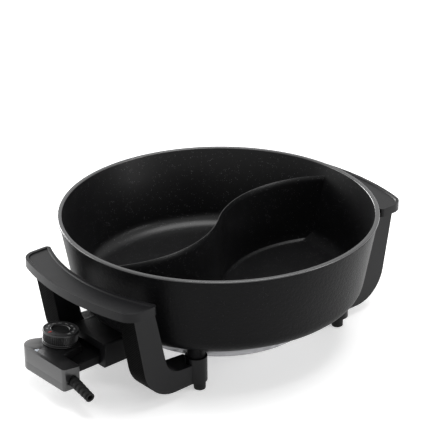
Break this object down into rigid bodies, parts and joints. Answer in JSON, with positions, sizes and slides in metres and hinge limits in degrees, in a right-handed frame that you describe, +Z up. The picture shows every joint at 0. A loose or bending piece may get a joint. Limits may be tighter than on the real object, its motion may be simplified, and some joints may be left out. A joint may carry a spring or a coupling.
{
  "type": "electric hot pot",
  "caption": "Round cast hot pot with an S-shaped divider, two moulded handles on J-shaped legs and a plug-in thermostat control with a knurled dial.",
  "frame": {"origin": "centre of the whole part's base, on the counter under the foot pads, half way along its length", "axes": "+Z up; -Y towards the plug-in control; +X towards the cord end of the control"},
  "size_m": [0.34, 0.4364, 0.143],
  "materials": {
    "cast_black": "dark non-stick coating, fine speckle, satin",
    "element_steel": "dull heat-darkened steel tube",
    "pin_steel": "plated pin",
    "ceramic": "cream ceramic, fired",
    "brass_sleeve": "plain brass",
    "cover_sheet": "pressed sheet, satin",
    "screw_steel": "plated steel",
    "guard_black": "black moulded plastic, satin",
    "handle_black": "black phenolic, satin moulded",
    "foot_rubber": "soft black rubber",
    "control_black": "black moulded plastic, half gloss",
    "lens_clear": "clear tinted lens",
    "lamp_glass": "small glass lamp",
    "nose_black": "black phenolic",
    "probe_steel": "polished steel",
    "plated_steel": "plated sheet",
    "spring_brass": "thin spring strip",
    "dial_black": "black moulded plastic, knurled",
    "dial_ring": "dark printed ring with light numbers",
    "relief_rubber": "soft black rubber"
  },
  "bodies": {
    "pot": {"pan_body": "cast_black", "heating_element": "element_steel", "left_pin": "pin_steel", "right_pin": "pin_steel", "left_pin_bush": "ceramic", "right_pin_bush": "ceramic", "base_cover": "cover_sheet", "base_cover_screws": "screw_steel", "socket_guard": "guard_black", "socket_guard_screws": "screw_steel", "front_handle": "handle_black", "rear_handle": "handle_black", "front_left_foot": "foot_rubber", "front_right_foot": "foot_rubber", "rear_left_foot": "foot_rubber", "rear_right_foot": "foot_rubber", "handle_screws": "screw_steel"},
    "control": {"control_bottom_shell": "control_black", "control_top_shell": "control_black", "indicator_lens": "lens_clear", "neon_lamp": "lamp_glass", "nose_block": "nose_black", "probe_tube": "probe_steel", "left_receptacle": "brass_sleeve", "right_receptacle": "brass_sleeve", "thermostat_frame": "plated_steel", "lower_insulator": "ceramic", "contact_blade": "spring_brass", "upper_insulator": "ceramic", "bimetal_blade": "spring_brass", "shaft_bush": "brass_sleeve", "strain_relief": "relief_rubber", "shell_screws": "screw_steel"},
    "dial": {"adjusting_shaft": "probe_steel", "dial_knob": "dial_black", "dial_scale_ring": "dial_ring"}
  },
  "joints": [
    {"name": "unplug", "type": "slide", "parent": "pot", "child": "control", "axis": [0, -1, 0], "range_m": [0, 0.08]},
    {"name": "dial", "type": "hinge", "parent": "control", "child": "dial", "pos_m": [-0.0307, -0.18065, 0.04079], "axis": [0, 0.1045, 0.9945], "range_deg": [0, 270]}
  ]
}
